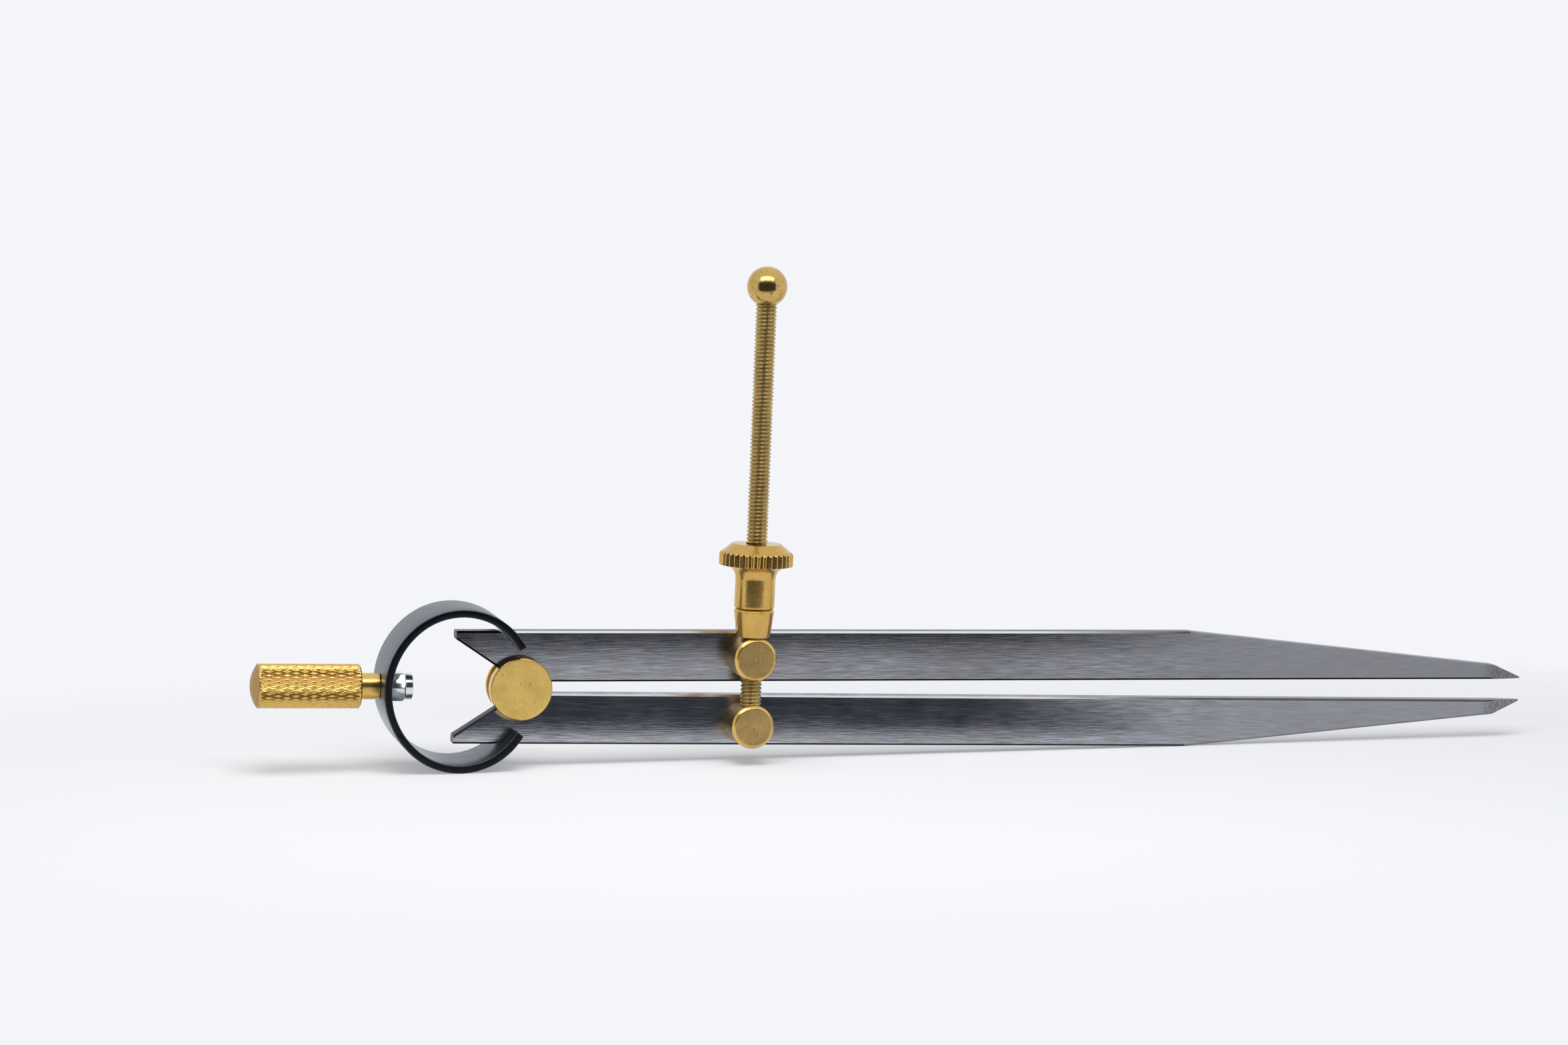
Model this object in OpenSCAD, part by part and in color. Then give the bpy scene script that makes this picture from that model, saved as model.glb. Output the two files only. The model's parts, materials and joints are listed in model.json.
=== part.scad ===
// Spring divider: two flat steel legs on a brass roller, a steel bow, a brass grip and a brass cross screw.
// Millimetres. Stored as it stands on its edge: X from the grip to the points, Y away from the front, Z up.
// Tool frame used while modelling: origin at the roller's axis, X along the middle line towards the points.

/* [Legs] */
// Roller axis to point, along the leg
leg_reach = 200; // [150:1:250]
// Width of the bar
leg_w = 9.35; // [8.5:0.05:11]
// Thickness of the bar
leg_t = 3.2; // [2.5:0.1:4]
// Gap between the two bars when they lie parallel
leg_gap = 2.1; // [1:0.1:3]
// Chamfer along the long edges
leg_edge = 0.36; // [0.1:0.02:0.5]
// Roller axis to the start of the taper
knee_x = 130; // [100:1:140]
// Length of the bevel at the point
bevel_len = 6; // [4:0.5:10]
// Width of the leg where the bevel starts
bevel_w = 2.8; // [2:0.1:4]
// Width left at the point
point_w = 0.3; // [0.2:0.05:0.6]
// Thickness left at the point
point_t = 0.6; // [0.4:0.1:1]
// Length of the ground flats on both sides of the point
point_side = 7; // [4:0.5:10]
// Roller axis to the end of the tail
tail_reach = 11.8; // [10.5:0.1:12.5]
// Width of the blunt tail end
tail_w = 1.55; // [1:0.05:2.5]
// Opening of each leg from parallel as stored, degrees
rest_deg = 0.3; // [0.1:0.05:2]

/* [Bow] */
// Width of the spring strip
bow_w = 14; // [10:0.1:16]
// Thickness of the spring strip
bow_t = 1.45; // [1.2:0.05:1.8]
// Roller axis to the outside of the bow at the back
bow_reach = 25.5; // [24:0.1:28]
// Height of the bow over its outside
bow_high = 29.8; // [28.5:0.1:30.2]
// Outside radius of the bow at the back
bow_back_r = 15.4; // [15.2:0.1:16]
// Depth of the seat cut into the leg's outer edge
seat_depth = 1.3; // [0.8:0.1:1.8]
// Length of the prongs past the seat
prong_len = 1.5; // [1:0.1:2.5]
// Radius of the shoulder that runs into the seat
shoulder_r = 2.9; // [2:0.1:4]

/* [Roller] */
// Core diameter that the legs turn on
roller_d = 7.2; // [6:0.1:8]
// Front flange diameter
flange_d = 11.4; // [10:0.1:12]
// Front flange thickness
flange_t = 2.2; // [1:0.1:3]
// Back flange diameter
back_flange_d = 11; // [9.5:0.1:12]
// Back flange thickness
back_flange_t = 1.3; // [1:0.1:3]
// Chamfer on the flange rims
flange_edge = 0.25; // [0.1:0.05:0.4]

/* [Grip] */
// Grip diameter over the knurl
grip_d = 8; // [7:0.1:10]
// Length of the knurled barrel
grip_len = 18.45; // [15:0.05:25]
// Height of the domed end
grip_dome = 1.3; // [0.8:0.1:2]
// Chamfer at the neck end of the grip
grip_edge = 0.45; // [0.2:0.05:0.8]
// Neck diameter
neck_d = 4.8; // [4:0.1:6]
// Neck length
neck_len = 3.45; // [2.5:0.05:5]
// Thread diameter through the bow
stud_d = 2.5; // [2:0.1:3]

/* [Lock nut] */
// Across the flats
lock_af = 5; // [4.5:0.1:6]
// Height of the hexagon
lock_hex_h = 2.9; // [2:0.1:4]
// Height of the round collar that holds the insert
lock_top_h = 1.3; // [1:0.1:2]
// Diameter of the round collar
lock_top_d = 4.8; // [4.3:0.1:5.2]
// How far the chamfer on the hexagon's top cuts inside the flats
lock_cut = 0.1; // [0:0.05:0.2]
// Insert outside diameter
insert_d = 3.7; // [3.4:0.1:4]
// Insert height
insert_h = 0.8; // [0.6:0.1:0.9]

/* [Posts] */
// Roller axis to post axis, along the leg
post_reach = 42.5; // [38:0.5:50]
// Leg's outer edge to post axis
post_edge = 4.4; // [4:0.1:4.8]
// Post diameter
post_d = 8; // [7.5:0.1:8.5]
// Height of the post in front of the leg
post_h = 7.2; // [7:0.1:9]
// Chamfer around the post's front face
post_face_edge = 0.5; // [0.2:0.05:0.8]
// Shank diameter through the leg
shank_d = 4.5; // [3.5:0.1:5]
// Washer diameter behind the leg
washer_d = 7; // [6.5:0.1:8]
// Washer thickness
washer_t = 0.8; // [0.6:0.1:1.2]
// Diameter of the riveted shank head
rivet_d = 5.7; // [5.4:0.1:6]
// Height of the riveted shank head
rivet_h = 0.7; // [0.5:0.1:1]

/* [Screw and nut] */
// Diameter over the thread
screw_d = 3.9; // [3.5:0.05:4]
// Leg's front face to the screw axis
screw_off = 4.1; // [4:0.1:4.4]
// Lower post axis to the underside of the ball
screw_len = 77.4; // [74:0.2:90]
// Lower post axis to the lower end of the screw
screw_below = 2.6; // [2:0.1:3]
// Length of the screw inside the ball
screw_in_ball = 3.6; // [2.5:0.1:4]
// Ball diameter
ball_d = 7.4; // [6.5:0.1:9]
// Ball centre to the flat on its underside
ball_flat = 3.3; // [3.1:0.05:3.4]
// Nut head diameter over the teeth
head_d = 13.6; // [12:0.1:16]
// Height of the toothed rim
rim_h = 2.2; // [1.6:0.1:3]
// Teeth around the rim
teeth = 36; // [24:1:40]
// Depth of the grooves between teeth
tooth_deep = 0.42; // [0.25:0.02:0.5]
// Height of the cone on top of the nut
cone_h = 1.85; // [1:0.05:2.5]
// Diameter of the cone's top
cone_d = 9; // [7:0.1:10]
// Nut barrel diameter
barrel_d = 7.4; // [7:0.1:8]
// Barrel height, from the bottom to the rim
barrel_h = 7.9; // [6:0.05:10]
// Chamfer around the nut's bottom
barrel_edge = 0.2; // [0.1:0.05:0.4]
// Radius of the flare under the rim
flare_r = 2.4; // [1:0.1:2.8]
// Collar diameter at the top
collar_top_d = 7.5; // [7:0.1:8]
// Collar diameter at the bottom
collar_low_d = 6.2; // [5.5:0.1:7]
// Collar height
collar_h = 5.2; // [4:0.1:6]
// Chamfer around the collar's top
collar_edge = 0.35; // [0.15:0.05:0.5]

/* [Fits] */
// Radial clearance of the legs on the roller and of the shanks in the legs
turn_fit = 0.05; // [0.02:0.01:0.1]
// Side clearance between sliding faces
side_fit = 0.05; // [0.02:0.01:0.1]
// Side clearance of a leg in the bow's slot
slot_fit = 0.1; // [0.05:0.01:0.2]
// Clearance around the strip in the leg's seat
seat_fit = 0.15; // [0.1:0.01:0.3]
// Radial clearance of the screw in the nut, the collar and the upper post
screw_fit = 0.08; // [0.04:0.01:0.1]
// Radial clearance where a thread is tight
tight_fit = 0.02; // [0.01:0.01:0.03]

/* [Hidden] */
$fn = 96;
brass = [0.80, 0.62, 0.27];
brass_dull = [0.62, 0.48, 0.24];
steel = [0.38, 0.39, 0.41];
black_steel = [0.13, 0.13, 0.14];
zinc = [0.76, 0.79, 0.81];
nylon = [0.90, 0.91, 0.90];
// Room past a face so that a cut runs clean through
over = 1;

// Leg lines, in the leg's own frame
inner_z = leg_gap / 2;
outer_z = inner_z + leg_w;
bevel_x = leg_reach - bevel_len;
bevel_z = inner_z + bevel_w;
taper_deg = atan((outer_z - bevel_z) / (bevel_x - knee_x));
tail_z = outer_z - tail_w;
tail_deg = atan((tail_z - inner_z) / tail_reach);
leg_outline = [
  [-tail_reach, outer_z], [knee_x, outer_z], [bevel_x, bevel_z], [leg_reach, inner_z + point_w],
  [leg_reach, inner_z], [0, inner_z], [-tail_reach, tail_z]
];

// Bow: a back arc that runs smoothly into two tighter arcs, which end a little way inside it
bow_span = 50;
bow_share = 3;
bow_step = 0.015;
bow_shrink = (bow_back_r - bow_step - bow_high / 2) / (1 - sin(bow_span));
bow_back_x = bow_back_r - bow_reach;
bow_side_t = bow_t - 2 * bow_step;
bow_side_r = bow_back_r - bow_shrink - bow_step;
bow_side_x = bow_back_x - bow_shrink * cos(bow_span);
bow_side_z = bow_shrink * sin(bow_span);
bow_mid_r = bow_side_r - bow_side_t / 2;
seat_deg = asin((outer_z - seat_depth - bow_side_z) / bow_mid_r);
prong_deg = prong_len / bow_mid_r * 180 / PI;
seat_gap_deg = tight_fit / bow_mid_r * 180 / PI;
seat_in_x = bow_side_x + (bow_side_r - bow_side_t) * cos(seat_deg);
seat_in_z = bow_side_z + (bow_side_r - bow_side_t) * sin(seat_deg);
shoulder_x = seat_in_x - shoulder_r;

// Lock nut and grip along X
lock_x = bow_back_x - sqrt(pow(bow_back_r - bow_t, 2) - pow(lock_af / 2, 2)) + tight_fit;
stud_end = lock_x + lock_hex_h + lock_top_h;
lock_slope = tan(50);
lock_top_r = lock_af / 2 - lock_cut;
neck_x = -bow_reach - tight_fit;
grip_x = neck_x - neck_len;
dome_r = (pow(grip_d / 2, 2) + pow(grip_dome, 2)) / (2 * grip_dome);
dome_x = grip_x - grip_len - grip_dome + dome_r;

// Post and screw places in the tool frame
post_in_z = outer_z - post_edge;
post_x = post_reach * cos(rest_deg) - post_in_z * sin(rest_deg);
post_z = post_reach * sin(rest_deg) + post_in_z * cos(rest_deg);
face_y = leg_t / 2;
screw_y = -face_y - screw_off;
ball_z = screw_len - post_z + ball_flat;
collar_z = post_z + post_d / 2 + tight_fit;
nut_z = collar_z + collar_h + side_fit;
rim_z = barrel_h;
cone_z = rim_z + rim_h;

// Stored pose: it stands on the bow's underside and on the lower knee
knee_tool_x = knee_x * cos(rest_deg) - outer_z * sin(rest_deg);
knee_tool_z = -(knee_x * sin(rest_deg) + outer_z * cos(rest_deg));
stand_run = knee_tool_x - bow_side_x;
stand_rise = -bow_side_z - knee_tool_z;
stand_deg = asin(bow_side_r / norm([stand_run, stand_rise])) - atan2(stand_rise, stand_run);
lift = knee_tool_x * sin(stand_deg) - knee_tool_z * cos(stand_deg);
tip_x = leg_reach * cos(rest_deg) - inner_z * sin(rest_deg);
tip_z = leg_reach * sin(rest_deg) + inner_z * cos(rest_deg);
right_x = tip_x * cos(stand_deg) + tip_z * sin(stand_deg);
left_x = dome_x * cos(stand_deg) - dome_r;
mid_x = (left_x + right_x) / 2;
front_y = screw_y - head_d / 2;
mid_y = (front_y + bow_w / 2) / 2;

// Places the tool frame in the stored pose
module stored() {
  translate([-mid_x, -mid_y, lift]) rotate([0, stand_deg, 0]) children();
}

// Turns a shape drawn about Z so that its axis points to the front
module to_front() {
  rotate([90, 0, 0]) children();
}

// Turns a shape drawn about Z so that its axis runs along X
module along_x() {
  rotate([0, 90, 0]) children();
}

// Part of a ring about the Y axis, drawn anticlockwise from the front
module arc_strip(x, z, r_in, r_out, width, from_deg, to_deg) {
  translate([x, 0, z]) to_front() rotate([0, 0, from_deg])
    rotate_extrude(angle = to_deg - from_deg) translate([r_in, -width / 2]) square([r_out - r_in, width]);
}

// The cut that makes a chamfer along one edge of a leg, from a point in a direction; up is 1 or -1
module edge_cut(x, z, deg, length, side, up) {
  room = 4 * leg_edge;
  translate([x, side * leg_t / 2, z]) rotate([0, deg, 0]) rotate([-side * (90 - 45 * up), 0, 0])
    translate([0, -room / 2, -leg_edge / sqrt(2)]) cube([length, room, room]);
}

// The seat that the bow's end drops into, in the tool frame
module bow_seat() {
  arc_strip(bow_side_x, bow_side_z, bow_side_r - bow_side_t - seat_fit, bow_side_r + seat_fit,
    leg_t + 2 * over, seat_deg - seat_gap_deg, seat_deg + bow_span / 2);
  difference() {
    translate([shoulder_x, -leg_t / 2 - over, seat_in_z])
      cube([shoulder_r + seat_fit, leg_t + 2 * over, outer_z + over - seat_in_z]);
    translate([shoulder_x, 0, outer_z - shoulder_r]) to_front()
      cylinder(r = shoulder_r, h = leg_t + 4 * over, center = true);
  }
}

// One leg in its own frame: lying above the middle line
module leg_bar() {
  side_deg = atan((leg_t - point_t) / 2 / point_side);
  difference() {
    to_front() linear_extrude(height = leg_t, center = true) polygon(leg_outline);
    to_front() cylinder(r = roller_d / 2 + turn_fit, h = leg_t + 2 * over, center = true);
    translate([post_reach, 0, post_in_z]) to_front()
      cylinder(r = shank_d / 2 + turn_fit, h = leg_t + 2 * over, center = true);
    rotate([0, rest_deg, 0]) bow_seat();
    for (side = [-1, 1]) {
      edge_cut(-tail_reach - over, outer_z, 0, tail_reach + knee_x + 2 * over, side, 1);
      edge_cut(knee_x - over * cos(taper_deg), outer_z + over * sin(taper_deg), taper_deg,
        norm([bevel_x - knee_x, outer_z - bevel_z]) + 2 * over, side, 1);
      edge_cut(0, inner_z, 0, leg_reach + over, side, -1);
      edge_cut(-tail_reach - over * cos(tail_deg), tail_z + over * sin(tail_deg), tail_deg,
        norm([tail_reach, tail_z - inner_z]) + 2 * over, side, -1);
      translate([leg_reach - point_side, side * leg_t / 2, 0]) rotate([0, 0, -side * side_deg])
        translate([0, side > 0 ? 0 : -leg_t, -over])
          cube([point_side + 2 * over, leg_t, outer_z + 2 * over]);
    }
  }
}

// One post in the tool frame, about its own axis, without its screw hole
module post_blank() {
  back = face_y + side_fit + washer_t;
  to_front() rotate_extrude() polygon([
    [0, -back - rivet_h], [rivet_d / 2 - rivet_h / 2, -back - rivet_h], [rivet_d / 2, -back - rivet_h / 2],
    [rivet_d / 2, -back], [shank_d / 2, -back],
    [shank_d / 2, face_y + side_fit], [post_d / 2, face_y + side_fit],
    [post_d / 2, face_y + post_h - post_face_edge], [post_d / 2 - post_face_edge, face_y + post_h],
    [0, face_y + post_h]
  ]);
}

// The washer behind a leg
module post_washer() {
  translate([0, face_y + side_fit, 0]) rotate([-90, 0, 0]) difference() {
    cylinder(d = washer_d, h = washer_t);
    translate([0, 0, -over]) cylinder(r = shank_d / 2 + turn_fit, h = washer_t + 2 * over);
  }
}

module bow_spring() {
  color(black_steel) stored() difference() {
    union() {
      arc_strip(bow_back_x, 0, bow_back_r - bow_t, bow_back_r, bow_w, 180 - bow_span, 180 + bow_span);
      arc_strip(bow_side_x, bow_side_z, bow_side_r - bow_side_t, bow_side_r, bow_w,
        seat_deg - prong_deg, 180 - bow_span + bow_share);
      arc_strip(bow_side_x, -bow_side_z, bow_side_r - bow_side_t, bow_side_r, bow_w,
        180 + bow_span - bow_share, 360 - seat_deg + prong_deg);
    }
    for (half = [0, 1]) mirror([0, 0, half])
      arc_strip(bow_side_x, bow_side_z, bow_side_r - bow_t - over, bow_side_r + over, leg_t + 2 * slot_fit,
        seat_deg - prong_deg - bow_span / 2, seat_deg);
    translate([-bow_reach - over, 0, 0]) along_x() cylinder(r = stud_d / 2 + turn_fit, h = bow_t + 2 * over);
  }
}

module handle() {
  color(brass) stored() {
    difference() {
      translate([dome_x - dome_r, 0, 0]) along_x() cylinder(d = grip_d, h = grip_dome + grip_len);
      translate([dome_x - dome_r - over, 0, 0]) along_x() difference() {
        cylinder(d = grip_d + 2 * over, h = grip_dome + over);
        translate([0, 0, over + dome_r]) sphere(r = dome_r);
      }
      translate([grip_x - grip_edge, 0, 0]) along_x() difference() {
        cylinder(d = grip_d + 2 * over, h = grip_edge + over);
        cylinder(r1 = grip_d / 2, r2 = grip_d / 2 - grip_edge, h = grip_edge);
      }
    }
    translate([grip_x, 0, 0]) along_x() cylinder(d = neck_d, h = neck_len);
    translate([grip_x, 0, 0]) along_x() cylinder(d = stud_d, h = stud_end - grip_x);
  }
}

module lock_nut() {
  top_x = lock_x + lock_hex_h;
  color(zinc) stored() difference() {
    union() {
      intersection() {
        translate([lock_x, 0, 0]) along_x() rotate([0, 0, 30])
          cylinder(r = lock_af / sqrt(3), h = lock_hex_h, $fn = 6);
        translate([top_x - lock_af, 0, 0]) along_x()
          cylinder(r1 = lock_top_r + lock_af * lock_slope, r2 = lock_top_r, h = lock_af);
      }
      translate([top_x - over / 2, 0, 0]) along_x() cylinder(d = lock_top_d, h = lock_top_h + over / 2);
    }
    translate([lock_x - over, 0, 0]) along_x()
      cylinder(r = stud_d / 2 + tight_fit, h = lock_hex_h + lock_top_h + 2 * over);
    translate([stud_end - insert_h, 0, 0]) along_x() cylinder(d = insert_d, h = insert_h + over);
  }
}

module lock_nut_insert() {
  color(nylon) stored() translate([stud_end - insert_h, 0, 0]) along_x() difference() {
    cylinder(r = insert_d / 2 - tight_fit, h = insert_h - tight_fit);
    translate([0, 0, -over]) cylinder(r = stud_d / 2 + tight_fit, h = insert_h + 2 * over);
  }
}

module fulcrum_roller() {
  inside = face_y + side_fit;
  color(brass) stored() to_front() rotate_extrude() polygon([
    [0, -inside - back_flange_t], [back_flange_d / 2 - flange_edge, -inside - back_flange_t],
    [back_flange_d / 2, -inside - back_flange_t + flange_edge], [back_flange_d / 2, -inside],
    [roller_d / 2, -inside], [roller_d / 2, inside], [flange_d / 2, inside],
    [flange_d / 2, inside + flange_t - flange_edge], [flange_d / 2 - flange_edge, inside + flange_t],
    [0, inside + flange_t]
  ]);
}

module upper_leg() {
  color(steel) stored() rotate([0, -rest_deg, 0]) leg_bar();
}

module lower_leg() {
  color(steel) stored() rotate([0, rest_deg, 0]) mirror([0, 0, 1]) leg_bar();
}

module upper_post() {
  color(brass_dull) stored() difference() {
    translate([post_x, 0, post_z]) post_blank();
    translate([post_x, screw_y, post_z - post_d]) cylinder(r = screw_d / 2 + screw_fit, h = 2 * post_d);
  }
}

module lower_post() {
  color(brass_dull) stored() difference() {
    translate([post_x, 0, -post_z]) post_blank();
    translate([post_x, screw_y, -post_z - screw_below]) cylinder(r = screw_d / 2 + tight_fit, h = 2 * post_d);
  }
}

module upper_post_washer() {
  color(steel) stored() translate([post_x, 0, post_z]) post_washer();
}

module lower_post_washer() {
  color(steel) stored() translate([post_x, 0, -post_z]) post_washer();
}

module adjusting_screw() {
  color(brass_dull) stored() translate([post_x, screw_y, -post_z - screw_below])
    cylinder(d = screw_d, h = screw_below + screw_len + screw_in_ball);
}

module screw_ball() {
  color(brass) stored() translate([post_x, screw_y, ball_z]) difference() {
    sphere(d = ball_d);
    translate([-ball_d, -ball_d, -ball_d - ball_flat]) cube([2 * ball_d, 2 * ball_d, ball_d]);
    translate([0, 0, -ball_flat - over])
      cylinder(r = screw_d / 2 + tight_fit, h = over + screw_in_ball + tight_fit);
  }
}

module adjusting_nut() {
  groove = 360 / teeth;
  half_w = head_d / 2 * tan(groove / 2);
  color(brass) stored() translate([post_x, screw_y, nut_z]) difference() {
    union() {
      rotate_extrude() polygon([
        [0, 0], [barrel_d / 2 - barrel_edge, 0], [barrel_d / 2, barrel_edge], [barrel_d / 2, rim_z],
        [head_d / 2, rim_z], [head_d / 2, cone_z], [cone_d / 2, cone_z + cone_h], [0, cone_z + cone_h]
      ]);
      translate([0, 0, rim_z - flare_r]) rotate_extrude() difference() {
        translate([barrel_d / 2 - barrel_edge, 0]) square([flare_r + barrel_edge, flare_r]);
        translate([barrel_d / 2 + flare_r, 0]) circle(r = flare_r);
      }
    }
    translate([0, 0, -over]) cylinder(r = screw_d / 2 + screw_fit, h = cone_z + cone_h + 2 * over);
    for (i = [0 : teeth - 1]) rotate([0, 0, (i + 0.5) * groove - 90]) translate([0, 0, rim_z - over / 4])
      linear_extrude(height = rim_h + cone_h) polygon([
        [head_d / 2 - tooth_deep, 0],
        [head_d / 2 + tooth_deep, -2 * half_w], [head_d / 2 + tooth_deep, 2 * half_w]
      ]);
  }
}

module thrust_collar() {
  color(brass) stored() translate([post_x, screw_y, collar_z]) difference() {
    rotate_extrude() polygon([
      [0, 0], [collar_low_d / 2, 0], [collar_top_d / 2, collar_h - collar_edge],
      [collar_top_d / 2 - collar_edge, collar_h], [0, collar_h]
    ]);
    translate([0, 0, -over]) cylinder(r = screw_d / 2 + screw_fit, h = collar_h + 2 * over);
  }
}

bow_spring();
handle();
lock_nut();
lock_nut_insert();
fulcrum_roller();
upper_leg();
lower_leg();
upper_post();
lower_post();
upper_post_washer();
lower_post_washer();
adjusting_screw();
screw_ball();
adjusting_nut();
thrust_collar();
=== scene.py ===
"""Looks of the spring divider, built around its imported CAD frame.

Lengths are in millimetres in the tool frame: origin on the roller's axis, X along the middle line
to the points, Y away from the front, Z along the cross screw. to_row() turns them into metres in
the row frame.
"""
import json
import math

import bmesh
import bpy
import numpy as np
from mathutils import Matrix, Vector

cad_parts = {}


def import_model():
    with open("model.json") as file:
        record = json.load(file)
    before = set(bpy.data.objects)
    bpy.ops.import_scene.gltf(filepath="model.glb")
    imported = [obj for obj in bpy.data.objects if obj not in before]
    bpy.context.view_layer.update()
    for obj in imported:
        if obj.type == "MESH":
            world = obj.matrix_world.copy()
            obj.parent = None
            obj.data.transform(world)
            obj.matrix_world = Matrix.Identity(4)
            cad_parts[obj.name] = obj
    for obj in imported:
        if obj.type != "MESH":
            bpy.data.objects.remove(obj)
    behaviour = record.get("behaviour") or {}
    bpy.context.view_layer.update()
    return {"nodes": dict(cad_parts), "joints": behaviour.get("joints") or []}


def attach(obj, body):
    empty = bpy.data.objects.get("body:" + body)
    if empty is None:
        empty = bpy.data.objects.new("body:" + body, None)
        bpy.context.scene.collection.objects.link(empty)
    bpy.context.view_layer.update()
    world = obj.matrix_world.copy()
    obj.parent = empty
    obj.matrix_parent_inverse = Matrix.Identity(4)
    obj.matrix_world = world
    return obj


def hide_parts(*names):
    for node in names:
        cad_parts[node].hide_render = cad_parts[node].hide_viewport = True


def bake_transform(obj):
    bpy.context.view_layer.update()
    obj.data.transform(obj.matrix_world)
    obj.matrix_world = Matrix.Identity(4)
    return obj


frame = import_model()

MM = 0.001
joints = {j["name"]: j for j in frame["joints"]}
FULCRUM = Vector(joints["upper_leg_turn"]["pos_m"])
UP = Vector(joints["nut_turn"]["axis"]).normalized()
BACK = Vector((0, 1, 0))
ALONG = BACK.cross(UP)
AXES = np.array([ALONG, BACK, UP])


def to_row(points):
    """Tool millimetres to row metres."""
    return np.asarray(points, float) @ AXES * MM + np.array(FULCRUM)


def to_tool(points):
    """Row metres to tool millimetres."""
    return (np.asarray(points, float) - np.array(FULCRUM)) @ AXES.T / MM


def node_points(node):
    """A CAD node's vertices in the tool frame."""
    return to_tool([v.co for v in frame["nodes"][node].data.vertices])


def span(node, axis):
    """Lowest and highest place of a CAD node along a tool axis (0, 1 or 2)."""
    places = node_points(node)[:, axis]
    return float(places.min()), float(places.max())


# Sizes taken from the frame
LEG_T = span("upper_leg", 1)[1] - span("upper_leg", 1)[0]
FACE = LEG_T / 2
POST_X, _, POST_Z = to_tool(joints["upper_post_turn"]["pos_m"])
SCREW_Y = to_tool(joints["nut_turn"]["pos_m"])[1]
GRIP_LEFT, STUD_END = span("handle", 0)
GRIP_R = span("handle", 1)[1]
SCREW_LOW = span("adjusting_screw", 2)[0]
SCREW_R = (span("adjusting_screw", 1)[1] - span("adjusting_screw", 1)[0]) / 2
BALL_LOW, BALL_TOP = span("screw_ball", 2)
BALL_R = (span("screw_ball", 1)[1] - span("screw_ball", 1)[0]) / 2
COLLAR_LOW, COLLAR_TOP = span("thrust_collar", 2)
NUT_LOW, NUT_TOP = span("adjusting_nut", 2)
NUT_R = SCREW_Y - span("adjusting_nut", 1)[0]
FLANGE_R = span("fulcrum_roller", 0)[1]
FLANGE_FRONT, FLANGE_BACK = span("fulcrum_roller", 1)
POST_FRONT, POST_BACK = span("upper_post", 1)
POST_R = (span("upper_post", 0)[1] - span("upper_post", 0)[0]) / 2
BOW_HALF_W = span("bow_spring", 1)[1]
BOW_REACH = -span("bow_spring", 0)[0]
BOW_HALF_H = span("bow_spring", 2)[1]

# Sizes that the frame doesn't give: each leg's turn at rest, fits, washers, the bow's arcs and fork
REST = math.radians(0.3)
SIDE_FIT = 0.05
SCREW_FIT = 0.08
BORE_R = SCREW_R + SCREW_FIT
WASHER_T = 0.8
BOW_T = 1.42
BOW_BACK_R = 15.4
BOW_SPAN = math.radians(50)
BOW_SHRINK = (BOW_BACK_R - BOW_HALF_H) / (1 - math.sin(BOW_SPAN))
BOW_SIDE_R = BOW_BACK_R - BOW_SHRINK
BOW_BACK_X = BOW_BACK_R - BOW_REACH
BOW_SIDE_X = BOW_BACK_X - BOW_SHRINK * math.cos(BOW_SPAN)
BOW_SIDE_Z = BOW_SHRINK * math.sin(BOW_SPAN)
FORK_W = LEG_T + 0.2
SEAT_ANGLE = math.radians(36.53)
PRONG_ANGLE = math.radians(6.85)

# Edges that turn by more than this are shaded as sharp
SHARP = math.radians(35)


def soften(points, radius, steps=4):
    """A profile with its corners rounded by up to the radius, or just under half of a shorter side."""
    points = [np.array(p, float) for p in points]
    out = [points[0]]
    for before, corner, after in zip(points, points[1:], points[2:]):
        a, b = before - corner, after - corner
        cut_a = min(radius, np.linalg.norm(a) / 2.1)
        cut_b = min(radius, np.linalg.norm(b) / 2.1)
        start = corner + a / np.linalg.norm(a) * cut_a
        end = corner + b / np.linalg.norm(b) * cut_b
        for i in range(steps + 1):
            t = i / steps
            out.append(start * (1 - t) ** 2 + corner * 2 * t * (1 - t) + end * t * t)
    out.append(points[-1])
    return np.array(out)


def refine(profile, step):
    """A profile with points no further apart than the step."""
    out = [profile[0]]
    for a, b in zip(profile, profile[1:]):
        count = max(1, math.ceil(np.linalg.norm(b - a) / step))
        out += [a + (b - a) * i / count for i in range(1, count + 1)]
    return np.array(out)


def arc(x, y, r, start, end, count):
    """Points of a circle's arc, angles in degrees."""
    return [(x + r * math.cos(math.radians(t)), y + r * math.sin(math.radians(t)))
            for t in np.linspace(start, end, count)]


def make(name, points, faces, material, marks=None):
    """A mesh object in the row frame, with named numbers stored on its points."""
    mesh = bpy.data.meshes.new(name)
    mesh.from_pydata([tuple(p) for p in to_row(points)], [], [tuple(f) for f in faces])
    mesh.polygons.foreach_set("use_smooth", [True] * len(mesh.polygons))
    for mark, values in (marks or {}).items():
        attribute = mesh.attributes.new(mark, "FLOAT", "POINT")
        attribute.data.foreach_set("value", np.asarray(values, np.float32))
    mesh.validate()
    mesh.update()
    mesh.set_sharp_from_angle(angle=SHARP)
    mesh.materials.append(material)
    piece = bpy.data.objects.new(name, mesh)
    bpy.context.scene.collection.objects.link(piece)
    return piece


def finished(piece, body, slot, *nodes):
    """The piece rides on a body and stands for CAD nodes; its slot is not used."""
    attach(piece, body)
    if nodes:
        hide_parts(*nodes)
    return piece


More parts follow.
